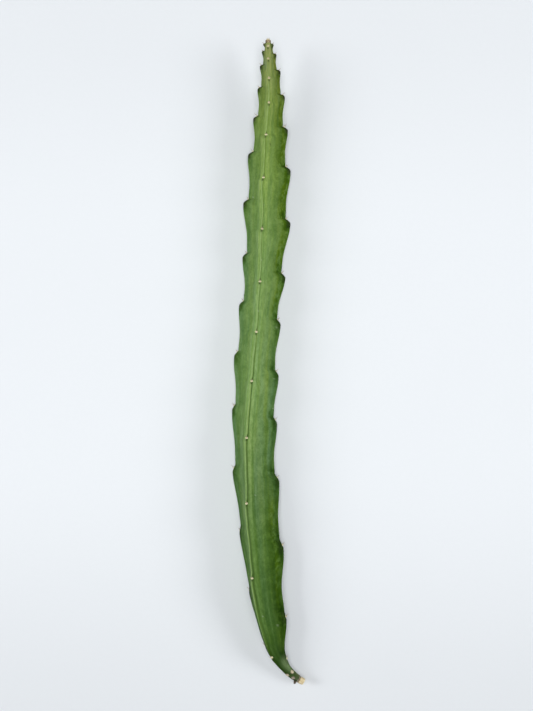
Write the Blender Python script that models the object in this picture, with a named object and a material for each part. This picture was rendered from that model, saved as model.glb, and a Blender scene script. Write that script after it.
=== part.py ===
"""A cutting of a climbing cactus, lying on a flat surface.

The stem is a slim three-ribbed length that hooks to one side at its cut end. Its ribs are
toothed: in each notch sits a felt cushion, the areole, with a few short spines. The woody
core stands out of the cut end. Lengths below are in millimetres, angles in degrees, and a
station is the distance along the centre line from the end of the woody core to the growing tip.

Axes: +Y runs towards the growing tip, +Z up, and the origin is at the middle of the footprint.
"""
import math
import random

import bmesh
import bpy
from mathutils import Vector

MM = 0.001

# The centre line as (x, y, height), from the end of the woody core to the growing tip.
CENTRE_LINE = [
    (25.2, -225.2, 5.5), (21.4, -223.2, 5.9), (17.0, -220.0, 6.6), (12.2, -215.6, 7.6),
    (8.0, -209.4, 9.0), (3.4, -198.6, 10.6), (-2.8, -167.0, 12.3), (-7.0, -132.0, 12.7),
    (-10.4, -90.1, 12.0), (-11.5, -48.2, 10.8), (-9.5, -6.3, 10.0), (-5.5, 42.7, 9.65),
    (-2.5, 91.7, 10.1), (-0.8, 133.5, 12.6), (0.6, 181.7, 18.0), (0.0, 222.6, 24.0),
]

ORIGIN = (-0.12, -1.5)     # the middle of the footprint, in the centre line's own coordinates

# Each rib as (station, reach, angle). The angle is turned from straight up towards -X. The stem
# twists: towards the cut the top rib leans over and the left rib comes to lie underneath.
TOP_RIB = [
    (4, 2.7, 20), (10, 3.1, 22), (17, 4.3, 25), (29, 7.8, 26), (45, 11.3, 26), (58, 13.1, 27),
    (85, 15.2, 24.5), (136, 17.4, 18), (181, 17.7, 12), (220, 17.3, 5.2), (255, 16.7, 3.2),
    (291, 16.8, 4.2), (327, 17.6, 6.6), (363, 16.4, 9.6), (392.7, 13.7, 8), (414.5, 10.8, 0),
    (432.3, 8.2, -1), (445, 6.0, 1), (454, 4.2, 2), (460, 3.2, 2),
]
LEFT_RIB = [
    (4, 2.8, 128), (10, 3.4, 135), (17, 4.6, 142), (30, 8.0, 145), (43, 11.6, 144),
    (57, 13.8, 144), (73, 15.1, 142), (92, 16.5, 139), (114, 17.2, 138), (157, 17.9, 131),
    (198, 17.3, 127), (234, 17.7, 123.5), (268, 17.4, 124.5), (304, 17.1, 125),
    (325, 18.0, 123), (345, 18.4, 122.5), (377, 16.2, 123), (404.6, 12.5, 122), (425.4, 9.3, 121),
    (441, 7.1, 120), (452, 5.0, 120), (456, 4.1, 120), (460, 3.6, 120),
]
RIGHT_RIB = [
    (4, 2.7, -100), (10, 3.1, -95), (17, 4.1, -92), (24, 5.9, -92), (35, 9.2, -93), (46, 12.2, -94),
    (60, 14.4, -96), (75, 15.2, -97), (98, 17.9, -99), (144, 19.5, -109), (190, 19.9, -117.5),
    (207, 20.2, -118.5), (224, 19.8, -120), (261, 18.3, -122), (296, 19.1, -120.5),
    (332, 20.3, -118.5), (371, 18.9, -120), (397.7, 15.4, -118), (420.4, 12.6, -118),
    (437, 9.4, -118), (450, 6.2, -118), (456, 4.4, -118), (460, 3.6, -118),
]

# The stations of the notches on each rib, tip first. The spacing grows with the stem's age.
TOP_NOTCHES = (455.7, 447.1, 433.9, 416.7, 394.3, 364.2, 328, 291.2, 256.3, 222.6, 184, 140.4,
               90, 33.5)
LEFT_NOTCHES = (457.3, 452.3, 442.7, 427.3, 407, 382.1, 348.8, 311.2, 277.4, 242, 205.2, 163.6, 121.5,
                79, 39)
RIGHT_NOTCHES = (457, 450.3, 438.9, 422.2, 399.9, 372.4, 336.3, 298.6, 266.2, 230.4, 196.8, 156.1,
                 109.4, 57.8, 26)

# A tooth as (station, depth of its notch, length of the step out of the notch, softness of the
# step, where on the step the areole sits, as a share of its length, and how full its back is).
TOOTH = [
    (12, 0.2, 6.0, 1.6, 0.55, 1.0), (30, 0.6, 6.0, 1.6, 0.6, 1.0), (60, 1.4, 6.5, 1.5, 0.6, 1.0),
    (110, 2.4, 7.0, 1.4, 0.6, 1.0), (170, 3.0, 5.6, 1.1, 0.42, 1.0), (220, 2.9, 4.8, 0.95, 0.24, 1.0),
    (270, 3.4, 4.0, 0.85, 0.08, 1.0), (330, 3.9, 3.5, 0.75, 0.02, 0.95), (385, 3.9, 2.9, 0.7, 0.05, 0.85),
    (410, 3.3, 2.3, 0.65, 0.12, 0.75), (429, 2.7, 1.7, 0.6, 0.3, 0.68), (447, 2.3, 1.3, 0.6, 0.35, 0.65),
    (460, 1.7, 1.0, 0.6, 0.4, 0.65),
]
WAIST = 0.78            # where a tooth has sunk back to its waist, as a share of the spacing
LAST_SPACING = 44.0     # the spacing below each rib's last notch

# The margin's half thickness and the least radius of the flesh, by station.
EDGE = [(4, 1.0), (17, 1.1), (60, 1.4), (150, 1.6), (340, 1.5), (400, 1.2), (440, 0.9), (460, 0.7)]
CORE = [(4, 2.5), (10, 2.8), (17, 2.9), (40, 3.6), (90, 4.5), (380, 4.5), (430, 3.4), (450, 2.5),
        (460, 1.8)]
# Where the margin's three points sit round its edge. The lower ribs have two on the floor's side.
EDGE_TURNS = {"top": (-46, 0, 46), "left": (-44, 14, 72), "right": (-72, -14, 44)}
FLARE = {"top": 36, "left": 14, "right": 14}    # how far each rib's flanks spread from its own line
HOLLOW = 0.86           # how far a flank sinks in from the flat between two ribs
FLANK_HANDLE = 0.36     # the length of a flank curve's handles, as a share of its span

FLESH_START = 4.3       # station where the flesh begins
FLESH_END = 459.3       # station of the last full section below the growing point
TIP_HEIGHT = 0.9        # the growing point above the last section
ROW_STEP = 8.5          # the widest gap between two rows of points
ROW_GAP = 0.8           # the narrowest
FLOOR = 0.0             # the teeth that would dip below this height are pressed flat

# The areoles and their spines.
CUSHION = (1.15, 0.85, 0.75)        # half width across the rib, half length along it, height
SPINE_LENGTH = (2.6, 3.6)
SPINE_RADIUS = 0.24
SPINE_ROOT = 1.0                    # how deep a spine is rooted
SPINES = 2
SPINE_FLOOR = 0.5                   # no spine's point comes lower than this
CUSHION_FLOOR = 0.08                # nor any part of a cushion lower than this

# The bristles round the growing point, and the corky scars as (rib, station, size).
TIP_BRISTLES = 7
TIP_BRISTLE_LENGTH = (1.4, 2.2)
SCARS = [("left", 14.0, 1.3), ("left", 8.0, 1.1), ("right", 10.0, 1.3)]

# The exposed woody core at the cut.
WOOD_RADIUS = 2.35
WOOD_SIDES = 14
WOOD_PROFILE = [(4.0, 0.96), (3.2, 1.0), (1.2, 1.04), (0.45, 1.0), (0.0, 0.78), (0.3, 0.4)]
WOOD_PITH = 0.75                    # station of the bottom of the pith's hollow

SEED = 11


def clear_scene():
    for item in list(bpy.data.objects):
        bpy.data.objects.remove(item, do_unlink=True)


def along(table, place):
    """Reads a table at a place: a smooth curve through its rows."""
    if place <= table[0][0]:
        return table[0][1:]
    if place >= table[-1][0]:
        return table[-1][1:]
    upper = next(i for i, row in enumerate(table) if row[0] >= place)
    rows = [table[max(0, min(len(table) - 1, i))] for i in range(upper - 2, upper + 2)]
    before, low, high, after = rows
    span = high[0] - low[0]
    t = (place - low[0]) / span
    values = []
    for k in range(1, len(low)):
        slope = (high[k] - before[k]) / (high[0] - before[0])
        next_slope = (after[k] - low[k]) / (after[0] - low[0])
        values.append((2 * t ** 3 - 3 * t ** 2 + 1) * low[k] + (t ** 3 - 2 * t ** 2 + t) * span * slope
                      + (3 * t ** 2 - 2 * t ** 3) * high[k] + (t ** 3 - t ** 2) * span * next_slope)
    return values


class CentreLine:
    """A smooth curve through the centre line's points, read by its length."""
    PIECES = 24

    def __init__(self, points):
        points = [Vector((x - ORIGIN[0], y - ORIGIN[1], height)) for x, y, height in points]
        ends = [2 * points[0] - points[1]] + points + [2 * points[-1] - points[-2]]
        self.points = []
        for a, b, c, d in zip(ends, ends[1:], ends[2:], ends[3:]):
            for i in range(self.PIECES):
                t = i / self.PIECES
                self.points.append(0.5 * (2 * b + (c - a) * t + (2 * a - 5 * b + 4 * c - d) * t ** 2
                                          + (3 * b - a - 3 * c + d) * t ** 3))
        self.points.append(points[-1])
        self.lengths = [0.0]
        for a, b in zip(self.points, self.points[1:]):
            self.lengths.append(self.lengths[-1] + (b - a).length)

    def at(self, station):
        """The point there, extended straight past both ends."""
        i = next((i for i, length in enumerate(self.lengths) if length >= station), len(self.lengths) - 1)
        i = max(1, i)
        share = (station - self.lengths[i - 1]) / (self.lengths[i] - self.lengths[i - 1])
        return self.points[i - 1].lerp(self.points[i], share)

    def frame(self, station, reach=2.0):
        """The point, and the directions along the stem, to its right and up."""
        forward = (self.at(station + reach) - self.at(station - reach)).normalized()
        right = forward.cross(Vector((0, 0, 1))).normalized()
        return self.at(station), forward, right, right.cross(forward)


LINE = CentreLine(CENTRE_LINE)
RIBS = {
    "top": (TOP_RIB, TOP_NOTCHES),
    "left": (LEFT_RIB, LEFT_NOTCHES),
    "right": (RIGHT_RIB, RIGHT_NOTCHES),
}


def proudness(station, notches):
    """0 at the waist and in the notch, 1 on a tooth's shoulder."""
    above = [n for n in notches if n >= station]
    if not above:
        return 0.0
    notch = min(above)
    below = [n for n in notches if n < station]
    spacing = notch - max(below) if below else LAST_SPACING
    depth, step, softness, seat, bulge = along(TOOTH, notch)
    down = notch - station
    if down < step:
        return math.sin(0.5 * math.pi * down / step) ** softness
    fall = min(1.0, (down - step) / (WAIST * spacing - step))
    return 0.5 + 0.5 * math.cos(math.pi * fall ** bulge)


def rib_reach(name, station):
    table, notches = RIBS[name]
    reach, angle = along(table, station)
    depth = along(TOOTH, station)[0]
    return reach - depth * (1.0 - proudness(station, notches)), math.radians(angle)


def rib_direction(angle):
    """Across the stem: (to the right, up)."""
    return Vector((-math.sin(angle), math.cos(angle)))


def section(station):
    """The outline across the stem, anticlockwise from the top rib, as (right, up) points."""
    half = along(EDGE, station)[0]
    core = along(CORE, station)[0]
    ribs = [(name, *rib_reach(name, station)) for name in RIBS]
    outline = []
    for (name, reach, angle), (next_name, next_reach, next_angle) in zip(ribs, ribs[1:] + ribs[:1]):
        outward = rib_direction(angle)
        side = rib_direction(angle + math.pi / 2)
        centre = outward * (reach - half)
        for turn in map(math.radians, EDGE_TURNS[name]):
            outline.append(centre + half * (math.cos(turn) * outward + math.sin(turn) * side))
        next_out = rib_direction(next_angle)
        next_side = rib_direction(next_angle - math.pi / 2)
        flare, next_flare = math.radians(FLARE[name]), math.radians(FLARE[next_name])
        chord = next_out * next_reach - outward * reach
        foot = outward * reach - chord * (outward * reach).dot(chord) / chord.length_squared
        valley = foot.normalized() * max(core, HOLLOW * foot.length)
        start = centre + half * (math.cos(flare) * side + math.sin(flare) * outward)
        end = (next_out * (next_reach - half)
               + half * (math.cos(next_flare) * next_side + math.sin(next_flare) * next_out))
        inward = math.sin(flare) * side - math.cos(flare) * outward
        next_inward = math.sin(next_flare) * next_side - math.cos(next_flare) * next_out
        lean = chord.normalized()
        outline += flank(start, inward, valley, -lean)[:-1]
        outline.append(valley)
        outline += flank(end, next_inward, valley, lean)[-2::-1]
    return outline


def flank(start, start_lean, end, end_lean):
    """Points on the curve from a margin to the valley between two ribs."""
    span = (end - start).length * FLANK_HANDLE
    a, b, c, d = start, start + start_lean * span, end + end_lean * span, end
    points = []
    for t in (0.3, 0.66, 1.0):
        points.append(a * (1 - t) ** 3 + 3 * b * t * (1 - t) ** 2 + 3 * c * t ** 2 * (1 - t) + d * t ** 3)
    return points


def row_stations():
    """Where the sections stand: close together at each notch and shoulder, wide between them."""
    wanted = {FLESH_START, FLESH_END}
    for table, notches in RIBS.values():
        for notch in notches:
            step = along(TOOTH, notch)[1]
            wanted |= {notch + 0.2, notch - 0.2 * step, notch - 0.5 * step, notch - step}
    rows = [FLESH_START]
    for place in sorted(p for p in wanted if FLESH_START < p < FLESH_END):
        if place - rows[-1] < ROW_GAP:
            continue
        gaps = math.ceil((place - rows[-1]) / ROW_STEP)
        rows += [rows[-1] + (place - rows[-1]) * (i + 1) / gaps for i in range(gaps)]
    if FLESH_END - rows[-1] < ROW_GAP:
        rows.pop()
    return rows + [FLESH_END]


def to_world(station, point):
    centre, forward, right, up = LINE.frame(station)
    return centre + right * point.x + up * point.y


def new_object(name, bm, colour, roughness):
    """Turns a mesh in millimetres into an object in metres with its own material."""
    bmesh.ops.recalc_face_normals(bm, faces=bm.faces[:])
    bmesh.ops.scale(bm, vec=(MM, MM, MM), verts=bm.verts[:])
    mesh = bpy.data.meshes.new(name)
    bm.to_mesh(mesh)
    bm.free()
    mesh.shade_smooth()
    mesh.set_sharp_from_angle(angle=math.radians(50))
    item = bpy.data.objects.new(name, mesh)
    bpy.context.scene.collection.objects.link(item)
    material = bpy.data.materials.new(name)
    material.use_nodes = True
    shader = material.node_tree.nodes["Principled BSDF"]
    shader.inputs["Base Color"].default_value = (*colour, 1.0)
    shader.inputs["Roughness"].default_value = roughness
    shader.inputs["Metallic"].default_value = 0.0
    mesh.materials.append(material)
    return item


def loft(bm, rings, start_pole=None, end_pole=None):
    """Skins closed rings of points, with a fan on a pole or a flat face at either end."""
    rows = [[bm.verts.new(p) for p in ring] for ring in rings]
    for low, high in zip(rows, rows[1:]):
        for i, vert in enumerate(low):
            j = (i + 1) % len(low)
            bm.faces.new((vert, low[j], high[j], high[i]))
    for row, pole in ((rows[0], start_pole), (rows[-1], end_pole)):
        if pole is None:
            bm.faces.new(row)
            continue
        peak = bm.verts.new(pole)
        for a, b in zip(row, row[1:] + row[:1]):
            bm.faces.new((a, b, peak))


def make_flesh():
    bm = bmesh.new()
    rings = []
    for station in row_stations():
        ring = [to_world(station, point) for point in section(station)]
        for point in ring:
            point.z = max(point.z, FLOOR)
        rings.append(ring)
    loft(bm, rings, end_pole=LINE.at(FLESH_END + TIP_HEIGHT))
    bmesh.ops.triangulate(bm, faces=bm.faces[:], quad_method="SHORT_EDGE")
    return new_object("stem", bm, (0.10, 0.21, 0.05), 0.42)


def cushion(place, across, lengthwise, outward, sizes):
    """A low dome of felt or cork, sunk into the rib."""
    width, length, height = sizes
    rings = []
    for spread, lift in ((0.8, -0.8), (1.0, 0.0), (0.68, 0.72)):
        ring = []
        for i in range(6):
            turn = math.tau * i / 6
            ring.append(place + across * (width * spread * math.cos(turn))
                        + lengthwise * (length * spread * math.sin(turn)) + outward * (height * lift))
        rings.append(ring)
    bm = bmesh.new()
    loft(bm, rings, end_pole=place + outward * height)
    for vert in bm.verts:
        vert.co.z = max(vert.co.z, CUSHION_FLOOR)
    return bm


def spine(root, direction, length, radius):
    """A three-sided needle."""
    side = direction.orthogonal().normalized()
    turned = direction.cross(side)
    ring = [root + radius * (math.cos(a) * side + math.sin(a) * turned)
            for a in (0.0, math.tau / 3, 2 * math.tau / 3)]
    bm = bmesh.new()
    loft(bm, [ring], end_pole=root + direction * length)
    return bm


def areole_place(name, notch):
    """The middle of an areole, with the directions across, along and out of its rib."""
    depth, step, softness, seat, bulge = along(TOOTH, notch)
    station = notch - seat * step
    reach, angle = rib_reach(name, station)
    centre, forward, right, up = LINE.frame(station)
    outward = rib_direction(angle)
    out = right * outward.x + up * outward.y
    tilted = (out + 0.55 * forward).normalized()
    across = tilted.cross(forward).normalized()
    return centre + out * (reach - 0.3), across, across.cross(tilted), tilted, forward


def areole_meshes(name, notch, draw):
    place, across, lengthwise, out, forward = areole_place(name, notch)
    size = min(1.0, 0.55 + 0.45 * (FLESH_END - notch) / 60)
    meshes = [cushion(place, across, lengthwise, out, [size * s for s in CUSHION])]
    for i in range(SPINES):
        sway = draw.uniform(0.15, 0.5) * (1 if i % 2 else -1)
        if name != "top":
            sway = abs(sway) * (1 if across.z > 0 else -1) * (0.3 if i else 1.0)
        aim = (out + 0.35 * draw.uniform(0.4, 1.6) * forward + sway * across).normalized()
        length = size * draw.uniform(*SPINE_LENGTH)
        if place.z + aim.z * length < SPINE_FLOOR:
            aim.z = (SPINE_FLOOR - place.z) / length
            aim.normalize()
        meshes.append(spine(place - aim * SPINE_ROOT * 0.5, aim, length + SPINE_ROOT * 0.5, SPINE_RADIUS))
    return meshes


def tip_meshes(draw):
    """The young bristles round the growing point."""
    centre, forward, right, up = LINE.frame(FLESH_END)
    meshes = []
    for i in range(TIP_BRISTLES):
        turn = math.tau * (i + draw.uniform(-0.2, 0.2)) / TIP_BRISTLES
        out = math.cos(turn) * right + math.sin(turn) * up
        aim = (forward + draw.uniform(0.15, 0.5) * out).normalized()
        length = draw.uniform(*TIP_BRISTLE_LENGTH) + SPINE_ROOT
        meshes.append(spine(centre + out * 0.75 - aim * SPINE_ROOT, aim, length, SPINE_RADIUS * 1.2))
    return meshes


def scar_meshes():
    meshes = []
    for name, station, size in SCARS:
        reach, angle = rib_reach(name, station)
        centre, forward, right, up = LINE.frame(station)
        outward = rib_direction(angle)
        out = right * outward.x + up * outward.y
        meshes.append(cushion(centre + out * (reach - 0.3), out.cross(forward), forward, out,
                              (size, size, 0.7)))
    return meshes


def fuse(stem, meshes):
    """Joins small parts to the stem with one union, and removes their own objects."""
    collection = bpy.data.collections.new("small parts")
    bpy.context.scene.collection.children.link(collection)
    for i, bm in enumerate(meshes):
        small = new_object(f"small_{i}", bm, (0.6, 0.55, 0.4), 0.8)
        bpy.context.scene.collection.objects.unlink(small)
        collection.objects.link(small)
    union = stem.modifiers.new("union", "BOOLEAN")
    union.operation = "UNION"
    union.operand_type = "COLLECTION"
    union.collection = collection
    union.solver = "EXACT"
    evaluated = stem.evaluated_get(bpy.context.evaluated_depsgraph_get())
    joined = bpy.data.meshes.new_from_object(evaluated)
    stem.modifiers.clear()
    stem.data = joined
    for small in list(collection.objects):
        bpy.data.objects.remove(small, do_unlink=True)
    bpy.data.collections.remove(collection)


def make_stem():
    draw = random.Random(SEED)
    stem = make_flesh()
    meshes = []
    for name, (table, notches) in RIBS.items():
        for notch in notches:
            meshes += areole_meshes(name, notch, draw)
    fuse(stem, meshes + tip_meshes(draw) + scar_meshes())
    return stem


def make_woody_end():
    draw = random.Random(SEED + 1)
    wobble = [draw.uniform(0.92, 1.06) for i in range(WOOD_SIDES)]
    rings = []
    for station, spread in WOOD_PROFILE:
        centre, forward, right, up = LINE.frame(station)
        ring = []
        for i, stretch in enumerate(wobble):
            turn = math.tau * i / WOOD_SIDES
            radius = WOOD_RADIUS * spread * stretch
            ring.append(centre + radius * (math.cos(turn) * right + math.sin(turn) * up))
        rings.append(ring)
    bm = bmesh.new()
    loft(bm, rings, end_pole=LINE.at(WOOD_PITH))
    return new_object("woody_end", bm, (0.62, 0.52, 0.30), 0.8)


clear_scene()
make_stem()
make_woody_end()
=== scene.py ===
"""The looks of the climbing cactus cutting: a fine mesh and a material for each thing that grows on it.

The stem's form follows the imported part: a centre line, three ribs and their notches. Lengths are in
millimetres and angles in degrees. A station is the distance along the centre line from the end of the
woody core to the growing tip, and "across" is the distance round the stem from a rib's margin.
"""
import bisect
import math
import random

import bpy
import numpy as np
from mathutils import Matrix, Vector, noise


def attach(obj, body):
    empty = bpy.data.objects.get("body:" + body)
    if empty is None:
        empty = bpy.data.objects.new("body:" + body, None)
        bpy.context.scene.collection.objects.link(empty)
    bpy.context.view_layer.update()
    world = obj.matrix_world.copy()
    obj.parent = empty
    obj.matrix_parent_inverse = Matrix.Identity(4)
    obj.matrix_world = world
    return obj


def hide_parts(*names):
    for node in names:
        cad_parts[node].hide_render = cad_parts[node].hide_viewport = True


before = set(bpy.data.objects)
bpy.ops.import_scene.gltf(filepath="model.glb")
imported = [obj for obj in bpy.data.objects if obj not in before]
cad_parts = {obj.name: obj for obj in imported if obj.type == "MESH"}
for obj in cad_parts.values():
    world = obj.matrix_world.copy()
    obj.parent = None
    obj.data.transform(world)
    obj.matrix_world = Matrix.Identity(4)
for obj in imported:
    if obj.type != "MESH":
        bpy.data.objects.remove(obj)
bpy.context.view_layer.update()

MM = 0.001

# The centre line as (x, y, height), from the end of the woody core to the growing tip.
CENTRE_LINE = [
    (25.2, -225.2, 5.5), (21.4, -223.2, 5.9), (17.0, -220.0, 6.6), (12.2, -215.6, 7.6),
    (8.0, -209.4, 9.0), (3.4, -198.6, 10.6), (-2.8, -167.0, 12.3), (-7.0, -132.0, 12.7),
    (-10.4, -90.1, 12.0), (-11.5, -48.2, 10.8), (-9.5, -6.3, 10.0), (-5.5, 42.7, 9.65),
    (-2.5, 91.7, 10.1), (-0.8, 133.5, 12.6), (0.6, 181.7, 18.0), (0.0, 222.6, 24.0),
]
ORIGIN = (-0.12, -1.5)  # the middle of the footprint, in the centre line's own coordinates

# Each rib as (station, reach, angle). The angle is turned from straight up towards -X.
TOP_RIB = [
    (4, 2.7, 20), (10, 3.1, 22), (17, 4.3, 25), (29, 7.8, 26), (45, 11.3, 26), (58, 13.1, 27),
    (85, 15.2, 24.5), (136, 17.4, 18), (181, 17.7, 12), (220, 17.3, 5.2), (255, 16.7, 3.2),
    (291, 16.8, 4.2), (327, 17.6, 6.6), (363, 16.4, 9.6), (392.7, 13.7, 8), (414.5, 10.8, 0),
    (432.3, 8.2, -1), (445, 6.0, 1), (454, 4.2, 2), (460, 3.2, 2),
]
LEFT_RIB = [
    (4, 2.8, 128), (10, 3.4, 135), (17, 4.6, 142), (30, 8.0, 145), (43, 11.6, 144),
    (57, 13.8, 144), (73, 15.1, 142), (92, 16.5, 139), (114, 17.2, 138), (157, 17.9, 131),
    (198, 17.3, 127), (234, 17.7, 123.5), (268, 17.4, 124.5), (304, 17.1, 125),
    (325, 18.0, 123), (345, 18.4, 122.5), (377, 16.2, 123), (404.6, 12.5, 122), (425.4, 9.3, 121),
    (441, 7.1, 120), (452, 5.0, 120), (456, 4.1, 120), (460, 3.6, 120),
]
RIGHT_RIB = [
    (4, 2.7, -100), (10, 3.1, -95), (17, 4.1, -92), (24, 5.9, -92), (35, 9.2, -93), (46, 12.2, -94),
    (60, 14.4, -96), (75, 15.2, -97), (98, 17.9, -99), (144, 19.5, -109), (190, 19.9, -117.5),
    (207, 20.2, -118.5), (224, 19.8, -120), (261, 18.3, -122), (296, 19.1, -120.5),
    (332, 20.3, -118.5), (371, 18.9, -120), (397.7, 15.4, -118), (420.4, 12.6, -118),
    (437, 9.4, -118), (450, 6.2, -118), (456, 4.4, -118), (460, 3.6, -118),
]
# The stations of the notches on each rib, tip first.
TOP_NOTCHES = (455.7, 447.1, 433.9, 416.7, 394.3, 364.2, 328, 291.2, 256.3, 222.6, 184, 140.4,
               90, 33.5)
LEFT_NOTCHES = (457.3, 452.3, 442.7, 427.3, 407, 382.1, 348.8, 311.2, 277.4, 242, 205.2, 163.6, 121.5,
                79, 39)
RIGHT_NOTCHES = (457, 450.3, 438.9, 422.2, 399.9, 372.4, 336.3, 298.6, 266.2, 230.4, 196.8, 156.1,
                 109.4, 57.8, 26)
# A tooth as (station, depth of its notch, length of the step out of the notch, softness of the
# step, where on the step the areole sits, as a share of its length, and how full its back is).
TOOTH = [
    (12, 0.2, 6.0, 1.6, 0.55, 1.0), (30, 0.6, 6.0, 1.6, 0.6, 1.0), (60, 1.4, 6.5, 1.5, 0.6, 1.0),
    (110, 2.4, 7.0, 1.4, 0.6, 1.0), (170, 3.0, 5.6, 1.1, 0.42, 1.0), (220, 2.9, 4.8, 0.95, 0.24, 1.0),
    (270, 3.4, 4.0, 0.85, 0.08, 1.0), (330, 3.9, 3.5, 0.75, 0.02, 0.95), (385, 3.9, 2.9, 0.7, 0.05, 0.85),
    (410, 3.3, 2.3, 0.65, 0.12, 0.75), (429, 2.7, 1.7, 0.6, 0.3, 0.68), (447, 2.3, 1.3, 0.6, 0.35, 0.65),
    (460, 1.7, 1.0, 0.6, 0.4, 0.65),
]
WAIST = 0.78  # where a tooth has sunk back to its waist, as a share of the spacing
LAST_SPACING = 44.0  # the spacing below each rib's last notch
EDGE = [(4, 1.0), (17, 1.1), (60, 1.4), (150, 1.6), (340, 1.5), (400, 1.2), (440, 0.9), (460, 0.7)]
CORE = [(4, 2.5), (10, 2.8), (17, 2.9), (40, 3.6), (90, 4.5), (380, 4.5), (430, 3.4), (450, 2.5),
        (460, 1.8)]
FLARE = {"top": 36, "left": 14, "right": 14}  # how far each rib's flanks spread from its own line
HOLLOW = 0.86  # how far a flank sinks in from the flat between two ribs
FLANK_HANDLE = 0.36  # the length of a flank curve's handles, as a share of its span
FLESH_START = 4.3  # station where the flesh begins
FLESH_END = 459.3  # station of the last full section below the growing point
TIP_HEIGHT = 0.9  # the growing point above the last section

# The fine mesh: shares of the way round a margin and down a flank, and the gaps between rows.
MARGIN_SHARES = (-0.82, -0.64, -0.47, -0.32, -0.18, -0.06, 0.06, 0.18, 0.32, 0.47, 0.64, 0.82)
FLANK_SHARES = (0.0, 0.1, 0.21, 0.33, 0.46, 0.6, 0.74, 0.87, 1.0)
ROW_GAP_NOTCH = 0.6
ROW_GAP_TIP = 0.32
ROW_GAP_PLAIN = 1.1
TIP_ROWS_FROM = 436.0

# The areoles and their spines.
CUSHION = (1.15, 0.85, 0.75)  # half width across the rib, half length along it, height
YOUNG_CUSHION = (0.82, 1.1, 0.65)  # the same on the top rib near the tip
YOUNG_WOOL_FROM = 400.0  # station from which the top rib's areoles are young
SPINE_LENGTH = (2.6, 3.6)
SPINE_ROOT = 1.0  # how deep a spine goes in
SPINES = 2
SPINE_RADIUS = 0.17
BRISTLE_RADIUS = 0.2
SPINE_FLOOR = 0.5  # how far above the floor spines stay
CUSHION_FLOOR = 0.08  # and wool
AREOLE_TILT = 0.55  # how far it leans towards the tip
AREOLE_SINK = 0.3
TIP_BRISTLES = 7
TIP_BRISTLE_LENGTH = (1.4, 2.2)
BUD_PAD = (0.95, 0.9, 1.0)  # the wool on the growing point: half width, half depth, height
BUD_HAIRS = 60  # on the growing point, and as many round it
BUD_HAIR = (1.6, 3.1)  # the length of those on it
COLLAR_HAIR = (0.4, 1.0)  # and round it
LEAFY_TEETH = 6  # teeth of each rib, from the tip, that still have a scale leaf
BUD_LEAVES = [(-1.3, 1.15, 2.3), (1.3, 1.15, 2.0), (0.2, -1.5, 1.9)]  # brown leaves: aside, above, length
# The corky scars near the cut, as (angle from straight up towards the left, station, size, paleness).
SCARS = [(-45.0, 11.7, 1.2, 0.85), (40.0, 12.9, 1.1, 0.7), (28.0, 8.5, 1.0, 0.35)]
SEED = 11


def along(table, place):
    """Reads a table at a place: a smooth curve through its rows."""
    if place <= table[0][0]:
        return table[0][1:]
    if place >= table[-1][0]:
        return table[-1][1:]
    upper = next(i for i, row in enumerate(table) if row[0] >= place)
    rows = [table[max(0, min(len(table) - 1, i))] for i in range(upper - 2, upper + 2)]
    before, low, high, after = rows
    span = high[0] - low[0]
    t = (place - low[0]) / span
    values = []
    for k in range(1, len(low)):
        slope = (high[k] - before[k]) / (high[0] - before[0])
        next_slope = (after[k] - low[k]) / (after[0] - low[0])
        values.append((2 * t ** 3 - 3 * t ** 2 + 1) * low[k] + (t ** 3 - 2 * t ** 2 + t) * span * slope
                      + (3 * t ** 2 - 2 * t ** 3) * high[k] + (t ** 3 - t ** 2) * span * next_slope)
    return values


class CentreLine:
    """A smooth curve through the centre line's points, read by its length."""
    PIECES = 24
    REACH = 2.0  # how far to both sides its direction is measured

    def __init__(self, points):
        points = [Vector((x - ORIGIN[0], y - ORIGIN[1], height)) for x, y, height in points]
        ends = [2 * points[0] - points[1]] + points + [2 * points[-1] - points[-2]]
        self.points = []
        for a, b, c, d in zip(ends, ends[1:], ends[2:], ends[3:]):
            for i in range(self.PIECES):
                t = i / self.PIECES
                self.points.append(0.5 * (2 * b + (c - a) * t + (2 * a - 5 * b + 4 * c - d) * t ** 2
                                          + (3 * b - a - 3 * c + d) * t ** 3))
        self.points.append(points[-1])
        self.lengths = [0.0]
        for a, b in zip(self.points, self.points[1:]):
            self.lengths.append(self.lengths[-1] + (b - a).length)

    def at(self, station):
        """The point there, extended straight past both ends."""
        i = min(max(1, bisect.bisect_left(self.lengths, station)), len(self.lengths) - 1)
        share = (station - self.lengths[i - 1]) / (self.lengths[i] - self.lengths[i - 1])
        return self.points[i - 1].lerp(self.points[i], share)

    def frame(self, station):
        """The point, and the directions along the stem, to its right and up."""
        forward = (self.at(station + self.REACH) - self.at(station - self.REACH)).normalized()
        right = forward.cross(Vector((0, 0, 1))).normalized()
        return self.at(station), forward, right, right.cross(forward)


LINE = CentreLine(CENTRE_LINE)
RIBS = {
    "top": (TOP_RIB, TOP_NOTCHES),
    "left": (LEFT_RIB, LEFT_NOTCHES),
    "right": (RIGHT_RIB, RIGHT_NOTCHES),
}


def smooth(value, low, high):
    """0 below the low value, 1 above the high one, and an even S between them."""
    t = min(1.0, max(0.0, (value - low) / (high - low)))
    return t * t * (3 - 2 * t)


def between(value, opens, open_by, closes, closed_by):
    """1 inside a stretch and 0 outside it, with an even S at both ends."""
    return smooth(value, opens, open_by) * (1 - smooth(value, closes, closed_by))


def bell(value, width):
    """1 at 0, and fading evenly to both sides."""
    return math.exp(-(value / width) ** 2)


def circle(count):
    """Places round a circle of radius 1, as (x, y), anticlockwise from (1, 0)."""
    return [(math.cos(math.tau * i / count), math.sin(math.tau * i / count)) for i in range(count)]


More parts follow.
